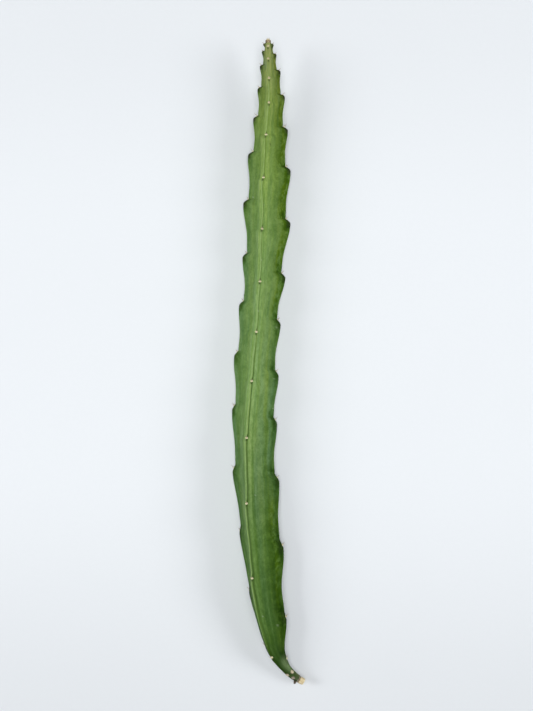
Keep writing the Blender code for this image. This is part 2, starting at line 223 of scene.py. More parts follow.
def proudness(station, notches):
    """0 at the waist and in the notch, 1 on a tooth's shoulder."""
    above = [n for n in notches if n >= station]
    if not above:
        return 0.0
    notch = min(above)
    below = [n for n in notches if n < station]
    spacing = notch - max(below) if below else LAST_SPACING
    _, step, softness, _, bulge = along(TOOTH, notch)
    down = notch - station
    if down < step:
        return math.sin(0.5 * math.pi * down / step) ** softness
    fall = min(1.0, (down - step) / (WAIST * spacing - step))
    return 0.5 + 0.5 * math.cos(math.pi * fall ** bulge)


def rib_reach(name, station):
    table, notches = RIBS[name]
    reach, angle = along(table, station)
    depth = along(TOOTH, station)[0]
    return reach - depth * (1.0 - proudness(station, notches)), math.radians(angle)


def rib_direction(angle):
    """Across the stem: (to the right, up)."""
    return Vector((-math.sin(angle), math.cos(angle)))


def bezier(start, start_handle, end_handle, end, t):
    return (start * (1 - t) ** 3 + 3 * start_handle * t * (1 - t) ** 2
            + 3 * end_handle * t ** 2 * (1 - t) + end * t ** 3)


def section(station):
    """The outline across the stem, anticlockwise from the top rib.

    Gives (point, rib, across) for each place, where across is signed: above 0 it is on the side
    of the rib that comes first anticlockwise.
    """
    half = along(EDGE, station)[0]
    core = along(CORE, station)[0]
    ribs = [(name, *rib_reach(name, station)) for name in RIBS]
    outline = []
    for (name, reach, angle), (next_name, next_reach, next_angle) in zip(ribs, ribs[1:] + ribs[:1]):
        outward = rib_direction(angle)
        side = rib_direction(angle + math.pi / 2)
        centre = outward * (reach - half)
        flare, next_flare = math.radians(FLARE[name]), math.radians(FLARE[next_name])
        for share in MARGIN_SHARES:
            turn = share * (math.pi / 2 - flare)
            outline.append((centre + half * (math.cos(turn) * outward + math.sin(turn) * side),
                            name, half * turn))
        next_out = rib_direction(next_angle)
        next_side = rib_direction(next_angle - math.pi / 2)
        chord = next_out * next_reach - outward * reach
        foot = outward * reach - chord * (outward * reach).dot(chord) / chord.length_squared
        valley = foot.normalized() * max(core, HOLLOW * foot.length)
        lean = chord.normalized()
        for middle, out, aside, spread, away, rib, sign in (
                (centre, outward, side, flare, -lean, name, 1),
                (next_out * (next_reach - half), next_out, next_side, next_flare, lean, next_name, -1)):
            near = middle + half * (math.cos(spread) * aside + math.sin(spread) * out)
            inward = math.sin(spread) * aside - math.cos(spread) * out
            span = (valley - near).length
            handle = span * FLANK_HANDLE
            arc = half * (math.pi / 2 - spread)
            points = [(bezier(near, near + inward * handle, valley + away * handle, valley, t),
                       rib, sign * (arc + t * span)) for t in FLANK_SHARES]
            outline += points if sign > 0 else points[-2::-1]
    return outline


def row_stations():
    """Where the sections stand: close together at each notch and at the tip."""
    crowded = []
    for _, notches in RIBS.values():
        for notch in notches:
            step = along(TOOTH, notch)[1]
            crowded.append((notch - 1.5 * step, notch + 1.0))
    rows = [FLESH_START]
    while rows[-1] < FLESH_END - ROW_GAP_TIP:
        place = rows[-1]
        if place > TIP_ROWS_FROM:
            gap = ROW_GAP_TIP
        elif any(low < place < high for low, high in crowded):
            gap = ROW_GAP_NOTCH
        else:
            gap = ROW_GAP_PLAIN
        rows.append(place + gap)
    return rows[:-1] + [FLESH_END]


# The stem's relief and the marks that its colours follow, all from the same few lengths.

RIDGE = (0.35, 0.30, 0.20)  # the crest's ridge: across, half width, height
GROOVE = (-0.50, 0.24, 0.26)  # the crease beside it: across, half width, depth
CREST_WIDENS = 0.22  # how much wider both are, and further apart, in the older half
MEANDER = [(0.125, 7.0, 0.0), (0.1, 3.1, 1.0)]  # how they wander: how far, over what length, from where
OLDER_PART = (225, 265)  # stations between which the older half ends
OLDEST_PART = (60, 120)  # and the oldest part by the cut
CREST_STARTS = (26.0, 75.0)  # stations between which ridge and crease come in
RIDGE_FADES = (415.0, 452.0)  # stations between which the ridge fades out
GROOVE_FADES = (385.0, 425.0)  # and the crease, with the cuts above the areoles
SOCKET = (1.25, 0.45)  # the dimple that an areole sits in: radius, depth
PIT = (1.35, 0.65, 0.25)  # the pit below an areole, painted dark as shade: how far below, radius, depth
WEDGE_DEPTH = 0.25  # the depth of the short cut above an areole, which is painted near black as shade
SWELL = (0.35, 0.09, 0.035)  # slow swellings of the flanks: height, change a mm round and along
RIPPLE = (0.07, 0.55, 0.22)  # fine ripples, the same way
SWELL_STARTS = (2.0, 6.0)  # how far from a margin the swellings come in
RIM_ENDS = (2.0, 10.0)  # how far below a tooth's step its dark rim gives way to a gilt one
SHOULDER_FADE = 9.0  # how far the painted shade on a tooth's shoulder runs down the rib
SHOULDER_WIDTH = {"left": 9.0, "right": 10.0}  # and how far in from the margin
CAP_DEPTH = 4.2  # how far the near-black cap of a young tooth reaches below its step
CAP_WIDTH = 5.8  # and how far in from the margin
MARKS = ("ridge", "groove", "wedge", "rim", "gilt", "shoulder", "cap", "pit", "socket")


def areole_size(notch):
    """How large an areole is, as a share of a full-grown one."""
    return min(1.0, 0.55 + 0.45 * (FLESH_END - notch) / 60)


def nearest_notch(station, notches):
    """The notch whose tooth this station is on, and how far below it that is."""
    above = [n for n in notches if n >= station - 2.5]
    notch = min(above) if above else notches[0]
    return notch, notch - station


def mark_crest(found, station, across, above_seat, size):
    """The top rib's ridge and crease, which are wider towards the cut, and the cuts above its areoles."""
    older, oldest = 1 - smooth(station, *OLDER_PART), 1 - smooth(station, *OLDEST_PART)
    wider = CREST_WIDENS * older
    meander = sum(far * math.sin(station / pace + phase) for far, pace, phase in MEANDER)
    found["ridge"] = between(station, *CREST_STARTS, *RIDGE_FADES) * bell(
        across - RIDGE[0] - wider - 0.1 * oldest - meander, RIDGE[1] + wider)
    found["groove"] = (0.75 + 0.25 * older) * between(station, *CREST_STARTS, *GROOVE_FADES) * bell(
        across - GROOVE[0] + wider + 0.25 * oldest - meander, GROOVE[1] + wider)
    half_width = 0.25 + 0.35 * size * (1 - smooth(above_seat, 0.0, 3.5 * size))
    found["wedge"] = (bell(across + 0.2, half_width) * between(above_seat, 0.2, 0.9, 1.6 * size, 3.8 * size)
                      * (1 - smooth(station, *GROOVE_FADES)))


def mark_margin(found, name, station, across, down, step):
    """The rims, the painted shade on the shoulders and the near-black caps of the teeth on a side rib."""
    distance = abs(across)
    scale = along(EDGE, station)[0] / 1.5
    tooth_top = 1 - smooth(down, step + RIM_ENDS[0], step + RIM_ENDS[1])
    found["rim"] = bell(distance, 0.75 * scale) * tooth_top
    found["gilt"] = bell(distance, 1.6 * scale) * (1 - tooth_top)
    if name == "right":
        notches = RIBS[name][1]
        lower = max((n for n in notches if n < station), default=-50.0)
        upper = min((n for n in notches if n >= station), default=500.0)
        near_notch = max(1 - smooth(upper - station, step + 1.0, step + 1.2 * SHOULDER_FADE * scale),
                         (1 - smooth(station - lower, 1.0, 9.0)) * (1 - smooth(station, 370, 415)))
    else:
        near_notch = between(down, -1.0, 0.6 * step, step + 1.0, step + SHOULDER_FADE * scale)
    width = SHOULDER_WIDTH[name] * scale
    # Painted shade in the hollow on the shoulder near each notch.
    found["shoulder"] = near_notch * (1 - smooth(distance, 0.3 * width, width))
    scale = max(scale, 0.75)
    youth = (0.38 + 0.60 * smooth(station, 220, 400)) * (1 - 0.35 * smooth(station, 444, 454))
    found["cap"] = (youth * between(down, -0.6, 0.1 * step, step + 0.8, step + CAP_DEPTH * scale)
                    * (1 - smooth(distance, 0.45 * CAP_WIDTH * scale, CAP_WIDTH * scale)))


def marks(station, name, across):
    """How strongly each mark shows at a place, each from 0 to 1."""
    notch, down = nearest_notch(station, RIBS[name][1])
    _, step, _, seat, _ = along(TOOTH, notch)
    size = areole_size(notch)
    below_seat = down - seat * step
    found = dict.fromkeys(MARKS, 0.0)
    found["pit"] = bell(math.hypot(below_seat - PIT[0], across * 0.9), PIT[1])
    found["socket"] = bell(math.hypot(below_seat, across), SOCKET[0] * size)
    if name == "top":
        mark_crest(found, station, across, -below_seat, size)
    else:
        mark_margin(found, name, station, across, down, step)
    return found


def rippling(place, height, around, lengthwise, shift=(0, 0, 0)):
    """Even noise on the skin's tube."""
    return height * noise.noise(Vector((place.x * around, place.z * lengthwise, place.y * around))
                                + Vector(shift))


def relief(station, across, place, found):
    """How far the skin stands out from the smooth section."""
    size = min(1.0, (FLESH_END - station) / 40 + 0.15)
    away = smooth(abs(across), *SWELL_STARTS)
    return (RIDGE[2] * found["ridge"] - GROOVE[2] * found["groove"] - WEDGE_DEPTH * found["wedge"]
            - SOCKET[1] * found["socket"] * size - PIT[2] * found["pit"] * size
            + rippling(place, *SWELL) * away * size + rippling(place, *RIPPLE, (7, 3, 1)) * size)


def new_object(name, data):
    item = bpy.data.objects.new(name, data)
    bpy.context.scene.collection.objects.link(item)
    return item


def new_piece(name, points, faces, material, replaces=None):
    """A smooth-shaded mesh from points in millimetres, which rides the part's one body."""
    mesh = bpy.data.meshes.new(name)
    mesh.from_pydata([tuple(Vector(p) * MM) for p in points], [], faces)
    mesh.update()
    mesh.shade_smooth()
    mesh.materials.append(material)
    item = new_object(name, mesh)
    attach(item, "root")
    if replaces:
        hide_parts(replaces)
    return item


def store(item, name, values, kind="FLOAT"):
    """Keeps a value for each point of the mesh, for the material to read."""
    attribute = item.data.attributes.new(name, kind, "POINT")
    key = "vector" if kind == "FLOAT_VECTOR" else "value"
    attribute.data.foreach_set(key, np.asarray(values, dtype=np.float32).ravel())


def ring_faces(rows, count, closed_start=False, closed_end=False):
    """Quads between rings of equal count, with a fan to a last point at either end."""
    faces = []
    for row in range(rows - 1):
        for i in range(count):
            j = (i + 1) % count
            faces.append((row * count + i, row * count + j, (row + 1) * count + j, (row + 1) * count + i))
    total = rows * count
    if closed_start:
        faces += [((i + 1) % count, i, total) for i in range(count)]
        total += 1
    if closed_end:
        last = (rows - 1) * count
        faces += [(last + i, last + (i + 1) % count, total) for i in range(count)]
    return faces


class Nodes:
    """Adds nodes to a tree. An input takes a number, a colour or the output of another node."""

    def __init__(self, tree):
        self.tree = tree

    def feed(self, value, socket):
        if isinstance(value, bpy.types.NodeSocket):
            self.tree.links.new(value, socket)
        elif isinstance(value, tuple) and len(value) == 3 and socket.type == "RGBA":
            socket.default_value = (*value, 1.0)
        else:
            socket.default_value = value

    def node(self, kind, inputs, output=0, **settings):
        """Adds a node, feeds its inputs by their name or number, and gives back one output."""
        node = self.tree.nodes.new(kind)
        for name, value in settings.items():
            setattr(node, name, value)
        for socket, value in inputs.items():
            self.feed(value, node.inputs[socket])
        return node.outputs[output]

    def attribute(self, name, output="Fac"):
        return self.node("ShaderNodeAttribute", {}, output, attribute_name=name)

    def math(self, operation, a, b):
        return self.node("ShaderNodeMath", {0: a, 1: b}, operation=operation)

    def stretch(self, vector, scales):
        return self.node("ShaderNodeVectorMath", {0: vector, 1: scales}, operation="MULTIPLY")

    def place_in_mm(self):
        """The place on the object itself, in millimetres."""
        return self.stretch(self.node("ShaderNodeTexCoord", {}, "Object"), (1 / MM,) * 3)

    def mix(self, share, a, b, blend="MIX"):
        return self.node("ShaderNodeMix", {0: share, 6: a, 7: b}, 2, data_type="RGBA", blend_type=blend)

    def vary(self, share, colour, low, high):
        """The colour times the low factors where the share is 0, and times the high ones at 1."""
        return self.mix(share, self.mix(1.0, colour, low, "MULTIPLY"),
                        self.mix(1.0, colour, high, "MULTIPLY"))

    def remap(self, value, low, high, at_low=0.0, at_high=1.0):
        """Runs from at_low to at_high in an even S while the value runs from low to high."""
        inputs = dict(enumerate((value, low, high, at_low, at_high)))
        return self.node("ShaderNodeMapRange", inputs, interpolation_type="SMOOTHSTEP")

    def cover(self, colour, tone, value, low, high, at_low=0.0, at_high=1.0, blend="MIX"):
        """Lays a tone on a colour: by at_low where the value is low, and by at_high where it is high."""
        return self.mix(self.remap(value, low, high, at_low, at_high), colour, tone, blend)

    def noise(self, vector, scale=1.0, detail=3.0, roughness=0.5):
        """Cloudy noise. Three scales stretch it."""
        if isinstance(scale, tuple):
            vector, scale = self.stretch(vector, scale), 1.0
        inputs = {"Vector": vector, "Scale": scale, "Detail": detail, "Roughness": roughness}
        return self.node("ShaderNodeTexNoise", inputs, "Fac")

    def cells(self, vector, scale=1.0):
        """The distance to the nearest of many scattered points."""
        return self.node("ShaderNodeTexVoronoi", {"Vector": vector, "Scale": scale}, "Distance")

    def ramp(self, value, stops):
        node = self.tree.nodes.new("ShaderNodeValToRGB")
        self.feed(value, node.inputs[0])
        elements = node.color_ramp.elements
        while len(elements) < len(stops):
            elements.new(0.5)
        for element, (place, colour) in zip(elements, stops):
            element.position = place
            element.color = (*colour, 1.0)
        return node.outputs[0]


class Shading(Nodes):
    """A new material and its node tree."""

    def __init__(self, name):
        self.material = bpy.data.materials.new(name)
        self.material.use_nodes = True
        super().__init__(self.material.node_tree)
        self.shader = self.tree.nodes["Principled BSDF"]

    def bump(self, height, distance, strength=1.0):
        inputs = {"Strength": strength, "Distance": distance * MM, "Height": height}
        self.feed(self.node("ShaderNodeBump", inputs), self.shader.inputs["Normal"])

    def finish(self, colour, roughness, **constants):
        self.feed(colour, self.shader.inputs["Base Color"])
        self.feed(roughness, self.shader.inputs["Roughness"])
        for name, value in constants.items():
            self.shader.inputs[name.replace("_", " ")].default_value = value
        return self.material


# Base colours of the skin by station, as linear RGB.
SKIN_TONES = [
    (4, (0.090, 0.100, 0.055)), (7.5, (0.068, 0.096, 0.042)), (12, (0.032, 0.060, 0.016)),
    (24, (0.023, 0.056, 0.008)), (40, (0.050, 0.106, 0.018)), (70, (0.068, 0.134, 0.026)),
    (106, (0.080, 0.154, 0.032)), (142, (0.098, 0.174, 0.048)), (177, (0.118, 0.202, 0.060)),
    (213, (0.128, 0.218, 0.064)), (283, (0.130, 0.218, 0.064)), (353, (0.130, 0.214, 0.052)),
    (388, (0.142, 0.220, 0.050)), (416, (0.150, 0.216, 0.050)), (437, (0.160, 0.206, 0.060)),
    (459, (0.190, 0.212, 0.078)),
]
# How strongly painted shade darkens the right margin, and how far in from it, by station.
RIGHT_MARGIN_SHADE = [(12, 0.0, 7), (28, 0.0, 8), (42, 0.9, 9), (65, 1.0, 12), (101, 1.0, 14), (125, 0.9, 13), (155, 0.5, 9),
       (208, 0.25, 7), (250, 0.45, 8), (278, 0.9, 10), (349, 1.0, 11), (395, 0.9, 10), (420, 0.75, 7),
       (455, 0.4, 3)]
# The painted light on the crown beside the crest fades out between these reaches. A reach is 0 at the crest,
# 1 in the valley beside it and 2 at the margin of the next rib.
CROWN_LEFT = (0.25, 1.3)
CROWN_RIGHT = (0.6, 1.4)
# Stretches of the stem, as the stations between which each comes in and those between which it ends.
CUT_END_SHADE_PART = (9, 13, 30, 50)  # painted shade, in dark green, on the left and the crest by the cut
BLOOM_AND_SHEEN_PART = (10, 14, 20, 28)  # painted sheen, with a greyish green bloom, on the right flank by the cut
STRIPED_PART = (40, 60, 150, 190)  # a pale and a bluish stripe beside the crest
OLDER_CROWN = (130, 215)  # the crown's painted light is weaker before these on the right
OLDER_LEFT_CROWN = (150, 200)  # and before these on the left
YOUNG_GOLD = (390, 420)  # the golden streak of the right flank is stronger past these
MARGIN_SHEEN = (195, 60)  # middle and half length of the stretch of the right margin with painted bluish sheen
BUD_FROM = (457.3, 458.2)
# Single marks of the upper side, as (x, y, half width, half length, kind).
BLEMISHES = [
    (1.8, 151.7, 0.5, 0.6, "dark"), (-6.6, 36.6, 0.35, 0.4, "pale"), (-3.7, -175.9, 0.3, 0.45, "pale"),
    (6.5, -182.9, 0.4, 0.35, "pale"), (-2.0, 207.4, 1.1, 3.0, "blue"), (3.2, 206.0, 0.9, 3.0, "gold"),
]
PALE_FLECKS = 66
FLECK_SIZE = (0.16, 0.34)
FLECK_REACH = 1.2
SCAR_REACH = 4.0
COLLAR = (4.5, 5.2)  # stations between which the corky collar ends
SKIN_RADIUS = 12.0  # radius of the even tube on which the skin's noise is read
# What follows the form, in the order in which it is laid on: the attribute, how strongly it counts or the
# patches that it counts in, the colour and how that is laid on. Several of these are painted light and shade.
FORM_TINTS = [
    ("gold", "fibres", (1.20, 1.08, 0.60), "MULTIPLY"),
    # painted light on the crown beside the crest, with a pale stripe
    ("crown_light", 1.0, (1.73, 1.58, 1.66), "MULTIPLY"),
    # painted shade along the right margin, and on the left and the crest by the cut
    ("lee", "blotches", (0.50, 0.59, 0.08), "MULTIPLY"),
    # painted bluish sheen on the margins and in a stripe beside the crest, with the single blue marks
    ("sheen_and_blue_marks", 1.0, (0.80, 0.88, 1.12), "MULTIPLY"),
    ("gilt", 0.6, (1.30, 1.20, 0.45), "MULTIPLY"),
    # painted shade in the hollow on each tooth's shoulder
    ("shoulder", "blotches", (0.40, 0.55, 0.20), "MULTIPLY"),
    ("rim", 0.7, (0.50, 0.56, 0.50), "MULTIPLY"),
    # painted sheen with a greyish green bloom on the right flank by the cut
    ("bloom_and_sheen", 0.85, (0.145, 0.220, 0.090), "MIX"),
    ("cap", 1.0, (0.022, 0.030, 0.009), "MIX"),
    # painted highlight along the crest's ridge, in patches
    ("ridge", "ridge_light_patches", (0.30, 0.42, 0.17), "MIX"),
    # painted shade in the crease beside the ridge
    ("groove", 0.85, (0.34, 0.38, 0.34), "MULTIPLY"),
    # painted shade, near black, in the short cut above each areole
    ("wedge", 0.8, (0.03, 0.06, 0.012), "MIX"),
    # painted shade in the pit below each areole and under the collar, with the dark blemishes
    ("pit", 0.9, (0.018, 0.028, 0.010), "MIX"),
]
POLES = {"age": (0.0, 1.0), "cork": (1.0, 0.0), "bud": (0.0, 1.0)}  # at the two end points, if not 0


def base_green(s, place):
    """Greens by station, with bands and stripes along the stem, blotches and clouds."""
    age = s.attribute("age")
    colour = s.ramp(age, [(station / FLESH_END, tone) for station, tone in SKIN_TONES])
    bands = s.remap(s.noise(place, (0.32, 0.32, 0.02), 4.0, 0.6), 0.34, 0.70)
    colour = s.mix(bands, s.mix(0.32, colour, (0.62, 0.82, 0.95), "MULTIPLY"),
                   s.mix(0.3, colour, (1.22, 1.18, 0.72), "MULTIPLY"))
    blotches = s.remap(s.noise(place, (0.38, 0.38, 0.14), 5.0, 0.65), 0.38, 0.62)
    colour = s.vary(blotches, colour, (1.06, 1.05, 1.06), (0.77, 0.83, 0.72))
    clouds = s.noise(place, (0.11, 0.11, 0.03))
    colour = s.cover(colour, (0.78, 0.86, 0.8), clouds, 0.35, 0.7, 0.0, 0.45, "MULTIPLY")
    stripes = s.remap(s.noise(place, (0.34, 0.34, 0.006), 2.0, 0.4), 0.38, 0.60)
    striped = s.vary(stripes, colour, (1.24, 1.15, 1.30), (0.80, 0.86, 0.66))
    return s.mix(s.remap(age, 0.30, 0.62, 1.0, 0.4), colour, striped)


def form_tints(s, place, colour):
    """Lays on the colours that follow the form."""
    patches = {
        "fibres": s.remap(s.noise(place, (0.8, 0.8, 0.02), 3.0, 0.6), 0.40, 0.62),
        "blotches": s.remap(s.noise(place, (0.5, 0.5, 0.22), 4.0, 0.65), 0.38, 0.58, 0.35, 1.1),
        # Patches in which the ridge's painted highlight is stronger.
        "ridge_light_patches": s.remap(s.noise(place, (0.5, 0.5, 0.16)), 0.35, 0.6, 0.35, 0.65),
    }
    for name, weight, tone, blend in FORM_TINTS:
        share = s.math("MULTIPLY", s.attribute(name), patches.get(weight, weight))
        colour = s.mix(share, colour, tone, blend)
    return colour


def skin_material():
    s = Shading("skin")
    place = s.attribute("skin", "Vector")
    colour = form_tints(s, place, base_green(s, place))
    # Fine mottling, grains, stomata and pale flecks.
    mottle = s.noise(place, (0.9, 0.9, 0.5), 4.0, 0.65)
    grains = s.noise(place, (1.9, 1.9, 1.4), 3.0, 0.6)
    pores = s.cells(s.stretch(place, (1.5, 1.5, 1.1)))
    colour = s.cover(colour, (1.35, 1.3, 1.4), mottle, 0.38, 0.66, 0.0, 0.65, "MULTIPLY")
    colour = s.cover(colour, (0.70, 0.77, 0.68), grains, 0.48, 0.70, 0.0, 0.6, "MULTIPLY")
    colour = s.cover(colour, (1.9, 1.8, 2.2), pores, 0.12, 0.0, 0.0, 0.3, "MULTIPLY")
    colour = s.mix(s.attribute("fleck"), colour, (0.34, 0.42, 0.26))
    # The brown bud at the tip, and cork at the collar and round the scars.
    patchy = s.remap(mottle, 0.38, 0.62)
    cork = s.attribute("cork")
    corky = s.remap(s.math("ADD", cork, s.math("MULTIPLY", mottle, 0.5)), 0.62, 0.8)
    colour = s.mix(s.attribute("bud"), colour, s.mix(patchy, (0.16, 0.10, 0.05), (0.46, 0.38, 0.23)))
    colour = s.mix(corky, colour, s.mix(patchy, (0.17, 0.125, 0.10), (0.42, 0.37, 0.29)))
    roughness = s.remap(s.math("ADD", mottle, cork), 0.3, 0.9, 0.40, 0.58)
    wrinkles = s.noise(place, (2.4, 2.4, 0.5), 5.0, 0.6)
    s.bump(s.math("ADD", wrinkles, s.math("MULTIPLY", pores, 0.6)), 0.10, 0.55)
    return s.finish(colour, roughness, Specular_IOR_Level=0.03)


def pale_flecks(draw):
    """Places of the pale scuffs: scattered, and thickest on the right flank above the middle."""
    flecks = []
    for i in range(PALE_FLECKS):
        if i % 3 == 0:
            flecks.append((draw.uniform(200, 262), "right", draw.uniform(1.0, 7.0),
                           draw.uniform(*FLECK_SIZE)))
        else:
            flecks.append((draw.uniform(20, 440), draw.choice(list(RIBS)), draw.uniform(-11, 11),
                           draw.uniform(*FLECK_SIZE) * 0.8))
    return flecks


def spots_at(world, upper):
    """How strongly each kind of single mark shows at a place."""
    spots = dict.fromkeys(("dark", "pale", "blue", "gold"), 0.0)
    for x, y, wide, long, kind in BLEMISHES:
        if upper and abs(world.y - y) < 3 * long:
            away = math.hypot((world.x - x) / wide, (world.y - y) / long)
            spots[kind] = max(spots[kind], bell(away, 1.0))
    return spots


def corkiness(station, point, scars):
    """How corky the skin is, at the collar and round the scars near this station."""
    cork = 0.8 * (1 - smooth(station, *COLLAR))
    bearing = math.degrees(math.atan2(-point.x, point.y))
    for turned, place, size, _ in scars:
        aside = math.radians((bearing - turned + 180) % 360 - 180) * point.length
        cork = max(cork, bell(math.hypot(station - place, aside), 1.2 * size))
    return cork


def tints(station, name, across, flank, spots):
    """How strongly the painted light and shade and the colours of the crown, flanks and margins show at a
    place.
    """
    share = abs(across) / flank
    reach = share if name == "top" else 2.0 - share
    upper = name == "top" or name == "left" and across < 0 or name == "right" and across > 0
    # Painted shade in dark green on the left flank and the crest by the cut.
    cut_end_shade = between(station, *CUT_END_SHADE_PART)
    if name == "top":
        cut_end_shade *= 0.95 * (1 - smooth(-across / flank, 0.0, 0.4))
    else:
        cut_end_shade *= 0.85 * smooth(share, 0.2, 0.5) if name == "left" and across < 0 else 0.0
    # Painted shade, a deep saturated green, along the right margin.
    strength, width = along(RIGHT_MARGIN_SHADE, station)
    width = min(width, 0.8 * flank)
    lee = (1 - smooth(abs(across), 0.45 * width, 1.15 * width)) * strength if name == "right" else 0.0
    # Painted bluish sheen along the margins: all along the left, and in a stretch of the right.
    middle, length = MARGIN_SHEEN
    margin_sheen = {"left": 0.8, "right": 1.4 * bell(station - middle, length), "top": 0.0}[name]
    sheen_and_blue_marks = max((1 - smooth(share, 0.15, 0.85)) * margin_sheen, 2.0 * spots["blue"])
    gold = (0.6 + 0.3 * smooth(station, *YOUNG_GOLD)) * between(share, 0.1, 0.35, 0.55, 0.95)
    bloom_and_sheen = 0.0
    if name == "right" or name == "top" and across < 0:
        striped = between(station, *STRIPED_PART)
        # Painted light on the crown beside the crest, fading towards the next rib, with a pale stripe in the
        # striped part.
        crown_light = (0.84 - 0.04 * smooth(reach, 0.15, 0.40)) * (1 - smooth(reach, *CROWN_RIGHT))
        crown_light *= 0.25 + 0.75 * smooth(station, *OLDER_CROWN)
        crown_light += 0.35 * striped * bell(reach - 0.27, 0.16)
        sheen_and_blue_marks = max(sheen_and_blue_marks, upper * 0.8 * striped * bell(reach - 0.80, 0.26))
        # Painted sheen, with a greyish green bloom, on the upper right flank by the cut.
        bloom_and_sheen = upper * between(station, *BLOOM_AND_SHEEN_PART) * bell(reach - 1.35, 0.6)
    else:
        # Painted light on the crown beside the crest.
        crown_light = 0.75 * (1 - smooth(reach, *CROWN_LEFT)) * (0.7 + 0.3 * smooth(station, *OLDER_LEFT_CROWN))
    return {
        "age": station / FLESH_END,
        "bud": smooth(station, *BUD_FROM),
        "lee": max(lee, cut_end_shade),
        "sheen_and_blue_marks": sheen_and_blue_marks,
        "crown_light": crown_light if upper else 0.0,
        "gold": max(spots["gold"], gold if name == "right" and across > 0 else 0.0),
        "bloom_and_sheen": bloom_and_sheen,
    }


def make_skin():
    flecks = pale_flecks(random.Random(SEED + 2))
    rows = row_stations()
    points, places, values = [], [], {}
    for station in rows:
        outline = section(station)
        count = len(outline)
        centre, _, right, up = LINE.frame(station)
        near_flecks = [fleck for fleck in flecks if abs(fleck[0] - station) < FLECK_REACH]
        near_scars = [scar for scar in SCARS if abs(scar[1] - station) < SCAR_REACH]
        flanks = {}
        for point, name, across in outline:
            flanks[name, across > 0] = max(flanks.get((name, across > 0), 0.1), abs(across))
        for i, (point, name, across) in enumerate(outline):
            tangent = (outline[(i + 1) % count][0] - outline[i - 1][0]).normalized()
            turn = math.tau * i / count
            place = Vector((SKIN_RADIUS * math.cos(turn), SKIN_RADIUS * math.sin(turn), station))
            found = marks(station, name, across)
            found["cork"] = corkiness(station, point, near_scars)
            out = relief(station, across, place, found)
            out += 0.3 * found["cork"] * noise.noise(place * 1.3)
            point = point + Vector((tangent.y, -tangent.x)) * out
            world = centre + right * point.x + up * point.y
            world.z = max(world.z, 0.0)
            points.append(world)
            places.append(place)
            spots = spots_at(world, point.y > 0)
            # Painted shade on the underside of the collar, laid on with the pit's dark tone.
            collar_shade = (1 - smooth(station, 7.0, 9.5)) * smooth(-point.x / point.length, 0.1, 0.7)
            found["pit"] = max(found["pit"], spots["dark"], collar_shade)
            found["fleck"] = max([spots["pale"]] + [bell(math.hypot(station - f[0], across - f[2]), f[3])
                                                    for f in near_flecks if f[1] == name])
            found.update(tints(station, name, across, flanks[name, across > 0], spots))
            for key, value in found.items():
                values.setdefault(key, []).append(value)
    points += [LINE.at(FLESH_START - 0.15), LINE.at(FLESH_END + TIP_HEIGHT)]
    places += [(0, 0, 4), (0, 0, 460)]
    item = new_piece("skin", points, ring_faces(len(rows), count, True, True), skin_material(),
                     "stem")
    store(item, "skin", [tuple(place) for place in places], "FLOAT_VECTOR")
    del values["socket"]
    for key, listed in values.items():
        store(item, key, [*listed, *POLES.get(key, (0.0, 0.0))])


def areole_place(name, notch):
    """The middle of an areole, with the directions across, along and out of its rib."""
    _, step, _, seat, _ = along(TOOTH, notch)
    station = notch - seat * step
    reach, angle = rib_reach(name, station)
    centre, forward, right, up = LINE.frame(station)
    outward = rib_direction(angle)
    out = right * outward.x + up * outward.y
    tilted = (out + AREOLE_TILT * forward).normalized()
    across = tilted.cross(forward).normalized()
    return centre + out * (reach - AREOLE_SINK), across, across.cross(tilted), tilted, forward


NEEDLE_POINT = 0.12  # a needle's width at its point, as a share of its foot's
SPINE_MESH = (6, 5)  # sides and rings of a spine
THIN_MESH = (5, 4)  # of a thin spine
WOOL_MESH = (4, 3)  # of the tip's hairs
FELT_MESH = (3, 2)  # of an areole's hairs


class Bundle:
    """Gathers many small shapes into one mesh, with a tint for each point."""

    def __init__(self):
        self.points, self.faces, self.tints, self.heights = [], [], [], []

    def rings(self, rings, tint, start=None, end=None):
        first = len(self.points)
        count = len(rings[0])
        for k, ring in enumerate(rings):
            self.points += ring
            self.heights += [k / len(rings)] * count
        for pole, height in ((start, 0.0), (end, 1.0)):
            if pole is not None:
                self.points.append(pole)
                self.heights.append(height)
        self.tints += [tint] * (len(self.points) - first)
        faces = ring_faces(len(rings), count, start is not None, end is not None)
        self.faces += [tuple(i + first for i in face) for face in faces]

    def needle(self, root, aim, length, radius, tint, sides, pieces, droop=None):
        """A tapered, slightly bent spine or hair."""
        side = aim.orthogonal().normalized()
        turned = aim.cross(side)
        bend = droop or Vector((0, 0, 0))
        rings = []
        for k in range(pieces):
            t = k / pieces
            wide = radius * (1 - (1 - NEEDLE_POINT) * t ** 0.8)
            middle = root + aim * (length * t) + bend * (length * t * t)
            rings.append([middle + wide * (x * side + y * turned) for x, y in circle(sides)])
        self.rings(rings, tint, end=root + aim * length + bend * length)

    def make(self, name, material):
        item = new_piece(name, self.points, self.faces, material)
        store(item, "tint", self.tints)
        store(item, "height", self.heights)


FELT_SIDES = 18
FELT_PROFILE = [(0.62, -0.9), (0.9, -0.45), (1.0, 0.0), (0.93, 0.32), (0.74, 0.66), (0.42, 0.9)]
FELT_SHARE = 0.84  # a wool pad's size, as a share of the solid cushion's
FELT_TINT = (0.4, 0.7)
YOUNG_TINT = (0.1, 0.2)  # browner
FELT_HAIRS = 46
FELT_HAIR = (0.35, 0.75)  # their length
FELT_HAIR_RADIUS = 0.045
EXTRA_SPINES = 3  # thinner ones beside the two of the solids
EXTRA_SPINE_LENGTH = (1.6, 3.3)
EXTRA_SPINE_RADIUS = 0.10


